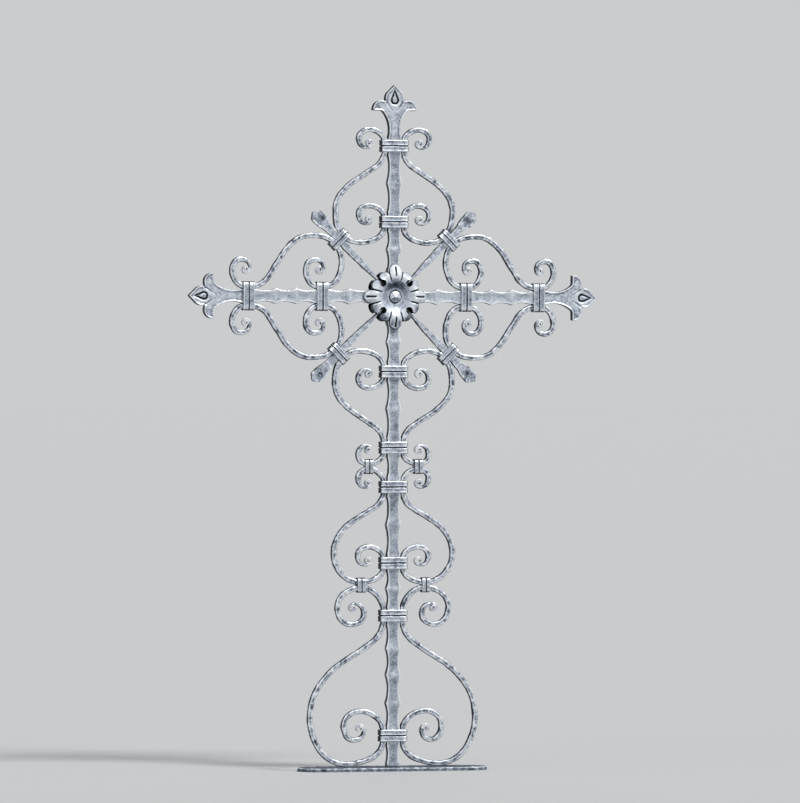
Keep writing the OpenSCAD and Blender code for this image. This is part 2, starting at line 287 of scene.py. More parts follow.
def armStops():
    inner, outer, out = cross["inner"], cross["outer"], cross["armOut"]
    half = cross["seat"] / 2
    near, far = byRay(cross["rayCollar"] - half), byRay(cross["rayCollar"] + half)
    return (reversedStops(smallVolute(inner, 28.6))
            + [[inner + half, out, 180], [inner - half, out, 180], [94.7, 59.5, 90],
               [*near, 45], [*far, 45], [inner + 20, 106.5, 0],
               [outer - 60.5, 70.5, -57.5], [outer - half, out, 0], [outer + half, out, 0]]
            + smallVolute(outer, 28.6))


def waistStops():
    top, low, out = cross["waist"], cross["lobe"], cross["armOut"]
    half = cross["seat"] / 2
    return (reversedStops(smallVolute(top, 31.4))
            + [[top + half, out, 180], [top - half, out, 180], [top - 59, 72.5, 121.5],
               [low + 17, 108, 180], [329, cross["clipLowerOut"], 270],
               [low - half, out, 360], [low + half, out, 360]]
            + smallVolute(low, 28.6))


def footStops():
    top, low, out = cross["foot"], cross["heel"], cross["armOut"]
    half = cross["seat"] / 2
    upper = withTail([[320, cross["clipLowerOut"], 90], [top + 14, 101, 180],
                      [top - 15.5, 76, 270], [top + 3, 52.5, 360], [top + 19.5, 68, 450]])
    lower = withTail([[low + 43, 59.5, 90], [low + 17, 89, 180], [low - 7.5, 70, 270],
                      [low + 8, 53.5, 360]])
    return (reversedStops(upper)
            + [[top + half, out, 180], [top - half, out, 180], [top - 76, 83.5, 120],
               [low + 32, 150.5, 180], [11.5, 84, 270],
               [low - half, out, 360], [low + half, out, 360]]
            + lower)


# materials

def addNode(tree, kind, settings=None, links=None, **inputs):
    # adds a node, sets its properties and inputs, and links sockets into it
    node = tree.nodes.new(kind)
    for key, value in (settings or {}).items():
        setattr(node, key, value)
    for key, value in inputs.items():
        node.inputs[key.replace("_", " ")].default_value = value
    for key, source in (links or {}).items():
        tree.links.new(source, node.inputs[key])
    return node


def rubbedSteel(name, look):
    # forged mild steel under graphite paint, with silver wax rubbed over the high places:
    # bright worn crests, near-black hollows, dark sides and undersides partly from painted shade
    # carried in the vertex attribute, a cool grey between them
    material = bpy.data.materials.new(name)
    material.use_nodes = True
    tree = material.node_tree
    tree.nodes.clear()
    coords = addNode(tree, "ShaderNodeTexCoord").outputs["Object"]
    rub = addNode(tree, "ShaderNodeAttribute", {"attribute_name": "rub"}).outputs["Fac"]
    blotch = addNode(tree, "ShaderNodeTexNoise", {}, {"Vector": coords},
                     Scale=1000 / look["blotchMm"], Detail=4.0, Roughness=0.6)
    speck = addNode(tree, "ShaderNodeTexNoise", {}, {"Vector": coords},
                    Scale=1000 / look["speckMm"], Detail=3.0, Roughness=0.65)
    scale = addNode(tree, "ShaderNodeTexNoise", {}, {"Vector": coords},
                    Scale=1000 / look["scaleMm"], Detail=2.0, Roughness=0.5)
    # wax caught unevenly: broad patches first, then small specks
    patchy = addNode(tree, "ShaderNodeMath", {"operation": "MULTIPLY_ADD"},
                     {0: blotch.outputs["Fac"], 2: rub})
    patchy.inputs[1].default_value = look["blotch"]
    speckled = addNode(tree, "ShaderNodeMath", {"operation": "MULTIPLY_ADD"},
                       {0: speck.outputs["Fac"], 2: patchy.outputs[0]})
    speckled.inputs[1].default_value = look["speck"]
    level = addNode(tree, "ShaderNodeMath", {"operation": "SUBTRACT"},
                    {0: speckled.outputs[0]})
    level.inputs[1].default_value = (look["blotch"] + look["speck"]) / 2
    ramp = addNode(tree, "ShaderNodeValToRGB", {}, {"Fac": level.outputs[0]})
    stops = ramp.color_ramp.elements
    stops[0].position, stops[0].color = look["ramp"][0][0], linear(look["ramp"][0][1])
    stops[1].position, stops[1].color = look["ramp"][-1][0], linear(look["ramp"][-1][1])
    for position, colour in look["ramp"][1:-1]:
        stops.new(position).color = linear(colour)
    metal = addNode(tree, "ShaderNodeMapRange", {}, {"Value": level.outputs[0]},
                    From_Min=0.1, From_Max=0.6, To_Min=look["metal"][0], To_Max=look["metal"][1])
    rough = addNode(tree, "ShaderNodeMapRange", {}, {"Value": level.outputs[0]},
                    From_Min=0.1, From_Max=0.85, To_Min=look["rough"][0], To_Max=look["rough"][1])
    # the grain left by scale and brush
    grain = addNode(tree, "ShaderNodeMath", {"operation": "ADD"},
                    {0: scale.outputs["Fac"], 1: speck.outputs["Fac"]})
    bump = addNode(tree, "ShaderNodeBump", {}, {"Height": grain.outputs[0]},
                   Strength=look["bump"], Distance=look["bumpMm"] * mm)
    shader = addNode(tree, "ShaderNodeBsdfPrincipled", {}, {
        "Base Color": ramp.outputs["Color"], "Metallic": metal.outputs[0],
        "Roughness": rough.outputs[0], "Normal": bump.outputs[0]},
                     Specular_IOR_Level=look["specular"])
    addNode(tree, "ShaderNodeOutputMaterial", {}, {"Surface": shader.outputs[0]})
    return material


baseLook = {
    # the grain is drawn coarser than real scale, so that it shows
    "blotchMm": 9.0, "speckMm": 2.4, "scaleMm": 1.3,   # sizes of the wax's patches, specks and grain
    "blotch": 0.6, "speck": 0.45,                      # how strongly each breaks up the wax
    "ramp": [(0.06, "#0b0e12"), (0.24, "#23282f"), (0.4, "#626b76"), (0.56, "#a9b1be"),
             (0.7, "#d2d8e0"), (0.88, "#f4f6f8")],
    "metal": (0.0, 0.7), "rough": (0.6, 0.34), "specular": 0.25, "bump": 0.7, "bumpMm": 0.35,
}
barSteel = rubbedSteel("barSteelHammeredSilverRubbed", {
    **baseLook, "blotchMm": 14.0, "blotch": 0.5, "speckMm": 2.0, "speck": 0.7})
scrollSteel = rubbedSteel("scrollSteelHammeredSilverRubbed", {
    **baseLook, "blotchMm": 10.0, "blotch": 1.2, "speckMm": 3.4, "speck": 1.0})
raySteel = rubbedSteel("raySteelForgedSilverRubbed", {
    **baseLook, "blotchMm": 7.0, "blotch": 0.6, "speckMm": 3.0, "speck": 0.7, "metal": (0.0, 0.45)})
collarSteel = rubbedSteel("collarStrapRolledSilverRubbed", {
    **baseLook, "blotchMm": 7.0, "blotch": 0.6, "speck": 0.6})
stampedSteel = rubbedSteel("ornamentDieForgedSilverRubbed", {
    **baseLook, "blotchMm": 8.0, "blotch": 0.35, "speck": 0.35, "bump": 0.4,
    "metal": (0.0, 0.3),
    "ramp": baseLook["ramp"][:-1] + [(0.88, "#e4e8ec")]})
ornamentSteel = rubbedSteel("finialDieForgedSilverRubbed", {
    **baseLook, "blotchMm": 9.0, "blotch": 0.6, "speckMm": 2.6, "speck": 0.7, "bump": 0.5,
    "metal": (0.0, 0.5)})
plateSteel = rubbedSteel("plateSteelHammeredGraphitePainted", {
    **baseLook, "blotchMm": 8.0, "blotch": 0.4, "speck": 0.3, "metal": (0.0, 0.3), "rough": (0.85, 0.6),
    "specular": 0.2})
print("materials made")


# a round rod to forge bars from

def rodBlank(around, rounds):
    # a closed rod from x = 0 to 1, cut into stretches by rounds of subdividing
    deselectAll()
    bpy.ops.mesh.primitive_cylinder_add(vertices=around, radius=1, depth=1,
                                        rotation=(0, math.pi / 2, 0), location=(0.5, 0, 0))
    obj = bpy.context.object
    bpy.ops.object.transform_apply(location=True, rotation=True, scale=True)
    for cuts in rounds:
        bpy.ops.object.mode_set(mode="EDIT")
        bpy.ops.mesh.select_mode(type="EDGE")
        bpy.ops.mesh.select_all(action="DESELECT")
        mesh = bmesh.from_edit_mesh(obj.data)
        for edge in mesh.edges:
            ends = edge.verts
            if abs(ends[0].co.x - ends[1].co.x) > 1e-5:
                edge.select = True
        bmesh.update_edit_mesh(obj.data)
        bpy.ops.mesh.subdivide(number_cuts=cuts)
        bpy.ops.object.mode_set(mode="OBJECT")
    return obj


def sectionTable(flatAcross, corner, flatDeep):
    # points round a rectangle with round corners, as shares of (flat, corner) across and deep
    quarter = [((1, 1), (i / flatDeep, 0)) for i in range(flatDeep)]
    quarter += [((1, math.cos(i / corner * math.pi / 2)), (1, math.sin(i / corner * math.pi / 2)))
                for i in range(corner)]
    quarter += [((1 - i / flatAcross, 0), (1, 1)) for i in range(flatAcross)]
    mirrored = [((0, 0), (1, 1))] + quarter[:0:-1]
    half = quarter + [((-a[0], -a[1]), d) for a, d in mirrored]
    return half + [((-a[0], -a[1]), (-d[0], -d[1])) for a, d in half]


def rodShares(obj, around):
    # each vertex's share along the rod, and which of the section's points it is
    flat = np.empty(len(obj.data.vertices) * 3)
    obj.data.vertices.foreach_get("co", flat)
    p = flat.reshape(-1, 3)
    turn = np.arctan2(p[:, 2], p[:, 1])
    return p[:, 0], np.round(turn / (math.tau / around)).astype(int) % around


class Forging:
    # a rod blank with its section, ready to be laid out
    def __init__(self, flatAcross, corner, flatDeep, rounds):
        table = sectionTable(flatAcross, corner, flatDeep)
        self.across = np.array([a for a, d in table], float)
        self.deep = np.array([d for a, d in table], float)
        self.blank = rodBlank(len(table), rounds)
        self.share, self.index = rodShares(self.blank, len(table))
        self.stretches = int(np.prod([cuts + 1 for cuts in rounds]))

    def section(self, halfWidth, halfDepth, corner):
        # across and deep, in mm, for sizes given at each vertex
        a, d = self.across[self.index], self.deep[self.index]
        return (a[:, 0] * (halfWidth - corner) + a[:, 1] * corner,
                d[:, 0] * (halfDepth - corner) + d[:, 1] * corner)


def resample(values, distances, wanted):
    values = np.asarray(values, float)
    if values.ndim == 1:
        return np.interp(wanted, distances, values)
    return np.stack([np.interp(wanted, distances, values[:, k]) for k in range(values.shape[1])], 1)


# scrolls

scrollLook = {
    "corner": 2.6,          # rounding of the bar's corners
    "blow": 11.0, "blowDepth": 1.1, "swell": 0.75, "mostDeep": 6.2,
    "wave": 26, "waveDepth": 0.25,
    "taper": (34.0, 8),     # where the slow thinning starts and stops, from the rolled end
    "thinned": 2.4,         # how much it takes off the width
    "rollIn": 10,           # length over which the rest comes off
    "rolled": 600,          # degrees that the end is rolled
    "rollStep": 8,
    "full": (3.0, 4.4), "thin": (3.6, 2.0),  # half widths over which it swells, or is rolled
    "calm": 0.8,            # how much less the rolled ends are hammered
    "rollRadius": 8.0, "rollStart": 3.7, "rollEnd": 3.2, "rollPitch": 3.4,
}


def rolledEnd(stop):
    # the tip, rolled to a tight swirl: middle points, normals to the left, half widths
    normal = leftOf(heading(stop[2]))
    centre = place(stop) + (scrollLook["rollRadius"] - cross["scrollWidth"] / 2) * normal
    mids, normals, halves = [], [], []
    step = scrollLook["rollStep"]
    for degrees in range(step, scrollLook["rolled"], step):
        share = degrees / scrollLook["rolled"]
        spoke = -leftOf(heading(stop[2] + degrees))
        outer = scrollLook["rollRadius"] - scrollLook["rollPitch"] * degrees / 360
        width = scrollLook["rollStart"] + (scrollLook["rollEnd"] - scrollLook["rollStart"]) * share
        outer = max(outer, width / 2)
        mids.append(centre + (outer - width / 2) * spoke)
        normals.append(-spoke)
        halves.append(width / 2)
    return mids, normals, halves


def scrollLine(stops, pitch=1.5):
    # the whole bar's middle line, normals, half widths and share of thinning
    path = route(stops, pitch)
    points = np.array([p[:2] for p in path])
    normals = np.array([leftOf(heading(p[2])) for p in path])
    run = np.concatenate([[0], np.cumsum(np.linalg.norm(np.diff(points, axis=0), axis=1))])
    full, start, thinned = cross["scrollWidth"], scrollLook["rollStart"], scrollLook["thinned"]

    def widthAt(fromEnd):
        # full, then thinning slowly, then quickly into the roll
        slow = smoothStep(*scrollLook["taper"], fromEnd)
        fast = smoothStep(scrollLook["rollIn"], 0, fromEnd)
        return full - thinned * slow - (full - thinned - start) * fast

    fromStart, fromEnd = run, run[-1] - run
    widthA, widthB = widthAt(fromStart), widthAt(fromEnd)
    width = np.minimum(widthA, widthB)
    # the outside of each roll stays on the drawn edge, so the bar thins from inside
    shift = np.where(widthA < widthB, (full - widthA) / 2, -(full - widthB) / 2)
    mids = points + normals * shift[:, None]
    halves = width / 2
    headMids, headNormals, headHalves = rolledEnd(reversedStops(stops)[-1])
    tailMids, tailNormals, tailHalves = rolledEnd(stops[-1])
    mids = np.concatenate([headMids[::-1], mids, tailMids])
    normals = np.concatenate([-np.array(headNormals[::-1]), normals, tailNormals])
    halves = np.concatenate([headHalves[::-1], halves, tailHalves])
    run = np.concatenate([[0], np.cumsum(np.linalg.norm(np.diff(mids, axis=0), axis=1))])
    return mids, normals, halves, run


def armPlace(angle, side):
    c, s = math.cos(math.radians(angle)), math.sin(math.radians(angle))

    def put(u, v, y):
        v = side * v
        return np.stack([u * c - v * s, y, cross["crossing"] + u * s + v * c], 1)
    return put


def postPlace(side):
    def put(u, v, y):
        return np.stack([-side * v, y, u], 1)
    return put


def layScroll(name, forging, stops, put, seed):
    mids, normals, halves, run = scrollLine(stops)
    obj = copyOf(forging.blank, name)
    at = forging.share * run[-1]
    mid, normal = resample(mids, run, at), resample(normals, run, at)
    normal /= np.linalg.norm(normal, axis=1)[:, None]
    half = resample(halves, run, at)
    swell = scrollLook["swell"] * smoothStep(*scrollLook["full"], half)
    corner = np.minimum(scrollLook["corner"], half * (0.3 + 0.32 * smoothStep(1.9, 3.2, half)))
    across, deep = forging.section(half + swell, cross["scrollDepth"] / 2, corner)
    flat = mid + normal * across[:, None]
    setPoints(obj, put(flat[:, 0], flat[:, 1], deep))
    outwards(obj)
    # hammered all along, though less on the thin rolled ends
    smooth = getPoints(obj)
    hammer(obj, scrollLook["blow"], scrollLook["blowDepth"])
    wave = softNoise(smooth, scrollLook["wave"], seed)[:, None] * getNormals(obj)
    struck = getPoints(obj) + wave * scrollLook["waveDepth"]
    rolled = smoothStep(*scrollLook["thin"], half)
    share = 1 - scrollLook["calm"] * rolled
    return obj, smooth + (struck - smooth) * share[:, None], rolled


scrollForging = Forging(2, 3, 2, (19, 19))
footForging = Forging(2, 3, 2, (19, 29))
scrolls = {
    "scroll_top_left": (armStops, armPlace(90, 1)),
    "scroll_top_right": (armStops, armPlace(90, -1)),
    "scroll_left_upper": (armStops, armPlace(180, -1)),
    "scroll_left_lower": (armStops, armPlace(180, 1)),
    "scroll_right_upper": (armStops, armPlace(0, 1)),
    "scroll_right_lower": (armStops, armPlace(0, -1)),
    "scroll_bottom_left": (armStops, armPlace(270, -1)),
    "scroll_bottom_right": (armStops, armPlace(270, 1)),
    "scroll_waist_left": (waistStops, postPlace(1)),
    "scroll_waist_right": (waistStops, postPlace(-1)),
    "scroll_foot_left": (footStops, postPlace(1)),
    "scroll_foot_right": (footStops, postPlace(-1)),
}
for seed, (node, (stops, put)) in enumerate(scrolls.items()):
    forging = footForging if stops is footStops else scrollForging
    piece, struck, rolled = layScroll(pieceName(node), forging, stops(), put,
                                      seeds["scrolls"] + seed)
    struck[:, 1] = np.clip(struck[:, 1], -scrollLook["mostDeep"], scrollLook["mostDeep"])
    if stops is footStops:
        struck[:, 2] = np.maximum(struck[:, 2], cross["plate"])
    setPoints(piece, struck)
    # sides darkened over a wide band, partly bare paint and partly painted shade; the rolled ends are
    # brighter
    finish(piece, [node], "scroll_iron", scrollSteel, fine=0.9, base=0.72, front=(0.76, 0.99),
           extra=0.2 * rolled)
for forging in (scrollForging, footForging):
    bpy.data.objects.remove(forging.blank)
print("scrolls laid")


# upright and crossbar

barLook = {
    "postPitch": 45, "armPitch": 37,     # length of a scallop
    "scallop": 4.5, "land": 0.8,
    "stray": 2.5, "twist": 1.2,          # how far cusps sit off the even pitch, and off square
    "uneven": (0.8, 1.1),                # shares of the scallop's depth
    "ridge": 1.9, "ridgeIn": 6,          # how far the ridges between scallops are spread
    "hollow": 2.0,                       # how far the faces sink between the ridges
    "worn": (0.66, 0.92),                # shares of the width over which the edges are worn
    "face": (5, 7),                      # distances from the middle at which a face begins
    "shoulder": 0.02,                    # half the gap between stations at the lap
    "corner": 1.3, "blow": 15.0, "blowDepth": 0.6,
}


def scallopEdge(stretches, pitch, rng):
    # where each scallop starts and ends and how deep it is, slightly uneven as forged
    cuts = []
    for low, high in stretches:
        count = max(1, round((high - low) / pitch))
        step = (high - low) / count
        marks = [low + i * step for i in range(count + 1)]
        for i in range(1, count):
            marks[i] += rng.uniform(-barLook["stray"], barLook["stray"])
        for a, b in zip(marks, marks[1:]):
            cuts.append((a, b, barLook["scallop"] * rng.uniform(*barLook["uneven"])))
    return cuts


def cutAt(cuts, at):
    # depth of the scallops at each place
    deep = np.zeros(len(at))
    for a, b, depth in cuts:
        half = (b - a - barLook["land"]) / 2
        t = np.clip(np.abs(at - (a + b) / 2) / half, 0, 1)
        deep = np.maximum(deep, depth * (1 - t ** 2))
    return deep


def layBar(name, forging, low, high, stretches, pitch, lap, put, seed):
    rng = np.random.default_rng(seed)
    obj = copyOf(forging.blank, name)
    # even stations, with a pair drawn together at each shoulder of the lap
    count = forging.stretches
    marks = np.linspace(low, high, count + 1)
    for edge in lap[:2]:
        i = int(np.argmin(np.abs(marks - edge)))
        marks[i], marks[i + 1] = edge - barLook["shoulder"], edge + barLook["shoulder"]
    at = marks[np.round(forging.share * count).astype(int)]
    leftCuts, twist = scallopEdge(stretches, pitch, rng), barLook["twist"]
    rightCuts = [(a + rng.uniform(-twist, twist), b + rng.uniform(-twist, twist),
                  barLook["scallop"] * rng.uniform(*barLook["uneven"])) for a, b, _ in leftCuts]
    leftCut, rightCut = cutAt(leftCuts, at), cutAt(rightCuts, at)
    half = cross["barWidth"] / 2
    spread = barLook["ridge"] * np.max([
        smoothStep(0, barLook["ridgeIn"], np.minimum(at - a, b - at)) for a, b in stretches], axis=0)
    left, right = half + spread - leftCut, half + spread - rightCut
    across, deep = forging.section((left + right) / 2, cross["barDepth"] / 2, barLook["corner"])
    edge = smoothStep(*barLook["worn"], np.abs(across) / ((left + right) / 2))
    across = across + (left - right) / 2
    # faces sink a little between the ridges
    share = across / half
    sunk = barLook["hollow"] * (leftCut + rightCut) / (2 * barLook["scallop"]) * (1 - share ** 2)
    deep = deep - np.sign(deep) * sunk * smoothStep(*barLook["face"], np.abs(deep))
    # the half lap at the crossing
    inside = (at > lap[0]) & (at < lap[1])
    deep = np.where(inside & (deep * lap[2] > 0), 0, deep)
    setPoints(obj, put(at, across, deep))
    keepValues(obj, "edge", edge)
    outwards(obj)
    before = getPoints(obj)
    hammer(obj, barLook["blow"], barLook["blowDepth"])
    after = getPoints(obj)
    after[np.abs(before[:, 1]) < 0.01] = before[np.abs(before[:, 1]) < 0.01]
    setPoints(obj, after)
    return obj, takeValues(obj, "edge")


crossingZ, inner, outer = cross["crossing"], cross["inner"], cross["outer"]
halfBar, collarHalf, plainOut = cross["barWidth"] / 2, cross["collarHalf"], cross["plainOut"]
armStretches = [(plainOut, inner - collarHalf), (inner + collarHalf, outer - collarHalf)]

postForging = Forging(5, 2, 2, (19, 24))
postStops = [cross["plate"] - collarHalf, cross["heel"], cross["foot"], cross["lobe"],
             cross["waist"], crossingZ - outer, crossingZ - inner, crossingZ - plainOut + collarHalf]
postStretches = [(a + collarHalf, b - collarHalf) for a, b in zip(postStops, postStops[1:])]
postStretches += [(crossingZ + a, crossingZ + b) for a, b in armStretches]
upright, edge = layBar("Upright", postForging, cross["plate"], crossingZ + outer, postStretches,
                       barLook["postPitch"], (crossingZ - halfBar, crossingZ + halfBar, 1),
                       postPlace(1), seeds["upright"])
finish(upright, ["upright"], "bar_iron", barSteel, fine=0.3, broad=0.02, base=0.62,
       extra=0.25 * edge - 0.05)
bpy.data.objects.remove(postForging.blank)

armForging = Forging(5, 2, 2, (19, 14))
armStretches = [(-b, -a) for a, b in reversed(armStretches)] + armStretches
crossbar, edge = layBar("Crossbar", armForging, -outer, outer, armStretches, barLook["armPitch"],
                        (-halfBar, halfBar, -1), armPlace(0, 1), seeds["crossbar"])
finish(crossbar, ["crossbar"], "bar_iron", barSteel, fine=0.3, broad=0.02, base=0.7,
       extra=0.25 * edge - 0.05)
bpy.data.objects.remove(armForging.blank)
print("bars forged")


# rays

rayLook = {
    # darkTip: distances from the crossing over which the tip is darkened, as painted shade under the
    # rosette
    "blow": 11.0, "blowDepth": 1.5, "corner": 1.1, "worn": (0.6, 0.9), "darkTip": (27, 23),
    "face": (2, 4),
    # distances from the crossing, with half the width and half the depth there
    "at": [17, 30, 42, 54, 76, 119, 152, 170, 184, 200.5, 208.5, 209.6],
    "half": [1.4, 1.7, 2.3, 3.3, 5.3, 7.1, 7.3, 8.2, 11.6, 12.3, 2.6, 0.8],
    "deep": [5.4, 6.6, 7.2, 7.0, 6.6, 6.2, 6.2, 6.0, 5.8, 5.4, 4.6, 4.4],
    "cupAt": 190, "cupLong": 9.5, "cup": 1.7,
}
rayForging = Forging(6, 3, 2, (9, 11))


def layRay(node, angle):
    obj = copyOf(rayForging.blank, pieceName(node))
    tip, end = rayLook["at"][0], rayLook["at"][-1]
    at = tip + rayForging.share * (end - tip)
    half = np.interp(at, rayLook["at"], rayLook["half"])
    deep = np.interp(at, rayLook["at"], rayLook["deep"])
    corner = np.minimum(rayLook["corner"], np.minimum(half, deep) * 0.6)
    across, depth = rayForging.section(half, deep, corner)
    cup = np.exp(-((at - rayLook["cupAt"]) / rayLook["cupLong"]) ** 2)
    cup = cup * np.clip(1 - (across / half) ** 2, 0, 1) * smoothStep(*rayLook["face"], np.abs(depth))
    depth = depth - np.sign(depth) * rayLook["cup"] * cup
    setPoints(obj, armPlace(angle, 1)(at, across, depth))
    keepValues(obj, "cup", cup)
    keepValues(obj, "edge", smoothStep(*rayLook["worn"], np.abs(across) / half))
    outwards(obj)
    hammer(obj, rayLook["blow"], rayLook["blowDepth"])
    points = getPoints(obj)
    # the tip that runs in under the rosette is darkened as painted shade
    shadeUnderRosette = smoothStep(*rayLook["darkTip"], np.hypot(points[:, 0], points[:, 2] - crossingZ))
    # the paddle's cup is darkened too, as painted shade; the worn edges are brighter
    finish(obj, [node], "scroll_iron", raySteel, fine=0.45, broad=0.0, base=0.6, front=(0.6, 0.95),
           extra=0.2 * takeValues(obj, "edge") - 0.5 * shadeUnderRosette - 0.12 * takeValues(obj, "cup"))


for node, angle in (("ray_upper_left", 135), ("ray_upper_right", 45),
                    ("ray_lower_left", 225), ("ray_lower_right", 315)):
    layRay(node, angle)
bpy.data.objects.remove(rayForging.blank)
print("rays forged")


# collars and clips

collarLook = {
    "across": 12, "deep": 6, "corner": 5, "cornerRadius": 2.5,
    "wave": 17, "waveDepth": 0.22, "waveStretch": 0.4, "blow": 7.0, "blowDepth": 0.3,
    # one half of the strap's moulding: share of its height, and how far under its crest
    "moulding": [(0.0, 2.1), (0.03, 2.0), (0.05, 0.5), (0.085, 0.0), (0.125, 0.1),
                 (0.155, 0.35), (0.25, 0.4), (0.345, 0.35), (0.375, 0.05), (0.42, 0.0),
                 (0.465, 0.3), (0.49, 1.0), (0.5, 1.9)],
    # the bore's rim and the inside of the bore, as shares of the height
    "rimAt": 0.49, "rimUnder": -0.4, "boreAt": 0.42,
}
barCollar = {"bore": (44, cross["barDepth"]), "side": 3.7, "face": 4, "height": 21.6}
rayCollar = {"bore": (32, cross["scrollDepth"]), "side": 4.6, "face": 4, "height": 17.4}
clip = {"bore": (21.4, cross["scrollDepth"]), "side": 2.8, "face": 3.5, "height": 15.4}


def collarBlank(minor):
    look = collarLook
    major = 2 * look["across"] + 2 * look["deep"] + 4 * look["corner"]
    deselectAll()
    bpy.ops.mesh.primitive_torus_add(major_segments=major, minor_segments=minor,
                                     major_radius=1, minor_radius=0.25)
    obj = bpy.context.object
    p = getPoints(obj) * mm
    majorAt = np.round(np.arctan2(p[:, 1], p[:, 0]) / (math.tau / major)).astype(int) % major
    ring = np.hypot(p[:, 0], p[:, 1]) - 1
    minorAt = np.round(np.arctan2(p[:, 2], ring) / (math.tau / minor)).astype(int) % minor
    return obj, majorAt, minorAt


def boreLine(width, depth):
    # points and outward normals round the bore, starting in the middle of one side
    look = collarLook
    r = look["cornerRadius"]
    w, d = width / 2 - r, depth / 2 - r
    points, normals = [], []
    for centre, start, steps, along in (
            ((w, d), 0, look["deep"], 1), ((-w, d), 90, look["across"], 0),
            ((-w, -d), 180, look["deep"], 1), ((w, -d), 270, look["across"], 0)):
        # a flat up to the corner, then the corner itself
        out = heading(start)
        side = leftOf(out)
        length = 2 * (d if along else w)
        for i in range(steps):
            points.append(np.array(centre) + r * out - side * length * (1 - i / steps))
            normals.append(out)
        for i in range(look["corner"]):
            turned = heading(start + 90 * i / look["corner"])
            points.append(np.array(centre) + r * turned)
            normals.append(turned)
    return np.array(points), np.array(normals)


def layCollar(node, centre, along, seed, bore, side, face, height):
    # centre is (x, z); along is the angle of the strap's own axis in the plane of the cross
    look, moulding = collarLook, collarLook["moulding"]
    last = len(moulding)
    minor = 2 * last + 4
    obj, majorAt, minorAt = collarBlank(minor)
    obj.name = obj.data.name = pieceName(node)
    points, normals = boreLine(*bore)
    thick = side * normals[:, 0] ** 2 + face * normals[:, 1] ** 2
    # out from the bore and along the axis: the moulding, then the rim, then the bore
    outShare, under, axis = [], [], []
    for i in range(minor):
        j = min(i, minor - i)
        sign = 1 if i <= minor // 2 else -1
        if j < last:
            at, low = moulding[j]
        elif j == last:
            at, low = look["rimAt"], look["rimUnder"]
        else:
            at, low = look["boreAt"] if j == last + 1 else 0, 0
        outShare.append(1 if j < last else 0)
        under.append(low)
        axis.append(sign * at * height)
    outShare, under, axis = map(np.array, (outShare, under, axis))
    out = outShare[minorAt] * thick[majorAt] - under[minorAt]
    flat = points[majorAt] + normals[majorAt] * out[:, None]
    rise = axis[minorAt]
    stretched = np.stack([flat[:, 0], flat[:, 1], rise * look["waveStretch"]], 1)
    rise = rise + look["waveDepth"] * softNoise(stretched, look["wave"], seed)
    c, s = math.cos(math.radians(along)), math.sin(math.radians(along))
    # across is a quarter turn from along
    x = centre[0] + rise * c - flat[:, 0] * s
    z = centre[1] + rise * s + flat[:, 0] * c
    setPoints(obj, np.stack([x, flat[:, 1], z], 1))
    outwards(obj)
    hammer(obj, look["blow"], look["blowDepth"])
    finish(obj, [node], "ornament_iron", collarSteel, fine=0.3, broad=0.05, base=0.7)


collars = {
    "collar_top_outer": ((0, crossingZ + outer), 90), "collar_top_inner": ((0, crossingZ + inner), 90),
    "collar_left_outer": ((-outer, crossingZ), 0), "collar_left_inner": ((-inner, crossingZ), 0),
    "collar_right_outer": ((outer, crossingZ), 0), "collar_right_inner": ((inner, crossingZ), 0),
    "collar_bottom_outer": ((0, crossingZ - outer), 90),
    "collar_bottom_inner": ((0, crossingZ - inner), 90),
    "collar_waist": ((0, cross["waist"]), 90), "collar_lobe": ((0, cross["lobe"]), 90),
    "collar_foot": ((0, cross["foot"]), 90), "collar_heel": ((0, cross["heel"]), 90),
}
rayCollars = {"ray_collar_upper_left": 135, "ray_collar_upper_right": 45,
              "ray_collar_lower_left": 225, "ray_collar_lower_right": 315}
clips = {
    "clip_upper_left": (-cross["clipUpperOut"], cross["clipUpper"]),
    "clip_upper_right": (cross["clipUpperOut"], cross["clipUpper"]),
    "clip_lower_left": (-cross["clipLowerOut"], cross["clipLower"]),
    "clip_lower_right": (cross["clipLowerOut"], cross["clipLower"]),
}
for seed, (node, (centre, along)) in enumerate(collars.items()):
    layCollar(node, centre, along, seeds["collars"] + seed, **barCollar)
for seed, (node, angle) in enumerate(rayCollars.items()):
    centre = cross["rayCollar"] * heading(angle) + np.array([0, crossingZ])
    layCollar(node, centre, angle, seeds["rayCollars"] + seed, **rayCollar)
for seed, (node, centre) in enumerate(clips.items()):
    layCollar(node, centre, 0, seeds["clips"] + seed, **clip)
print("collars wrapped")


# finials

finialLook = {
    "voxel": 0.9, "smoothing": 4, "sink": 1.4, "rim": (1.0, 4.2), "blow": 9.0, "blowDepth": 0.25,
    "drop": (80, 6.3, 16), "dropGroove": 2.4, "dropGrooveWidth": 1.4, "dropRise": 0.3,
    "dropRiseIn": (-1.0, -4.0), "facing": (0.3, 0.75),
    # the folds and creases run from a tip to a root, given as (out, across)
    "fold": ((81, 17), (58, 1.5)), "foldDepth": 1.5, "foldWidth": 1.5,
    "crease": ((68, 30), (46, 6)), "creaseDepth": 0.5, "creaseWidth": 2.5,
}


def cadCopy(node, name, voxel, smoothing):
    # the CAD solid, merged and remeshed fine enough to work its surface
    obj = copyOf(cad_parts[node], name)
    obj.parent = None
    for key in list(obj.keys()):
        del obj[key]
    obj.hide_render = obj.hide_viewport = False
    outwards(obj)
    applyModifier(obj, "REMESH", mode="VOXEL", voxel_size=voxel * mm)
    applyModifier(obj, "SMOOTH", factor=0.5, iterations=smoothing)
    return obj


def rimDistance(points, normals, flatAxis, inPlane):
    # in-plane distance from the nearest side wall
    walls = points[np.abs(normals[:, flatAxis]) < 0.45][:, inPlane]
    tree = kdtree.KDTree(len(walls))
    for i, w in enumerate(walls):
        tree.insert((w[0], w[1], 0), i)
    tree.balance()
    return np.array([tree.find((p[0], p[1], 0))[2] for p in points[:, inPlane]])


